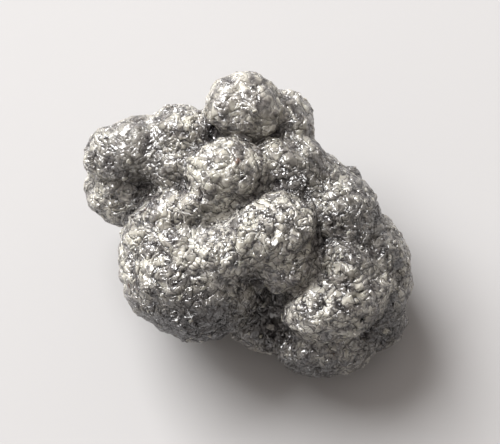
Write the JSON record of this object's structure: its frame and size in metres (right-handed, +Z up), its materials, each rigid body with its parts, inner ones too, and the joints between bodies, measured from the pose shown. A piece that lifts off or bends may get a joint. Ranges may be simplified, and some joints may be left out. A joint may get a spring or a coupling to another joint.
{
  "type": "rough diamond",
  "caption": "Lumpy grey rough diamond of many small crystals grown together, lying on a flat cleavage face.",
  "frame": {"origin": "under the middle of the stone, on the surface that it lies on", "axes": "+Z up, +X to the right across the longest side as the picture shows it, +Y away from the viewer"},
  "size_m": [0.0124, 0.0108, 0.0075],
  "materials": {
    "grey_rough_diamond": "uncut grey diamond, glittering small crystal faces with dark gaps between them"
  },
  "bodies": {
    "root": {"rough_diamond": "grey_rough_diamond"}
  },
  "joints": []
}
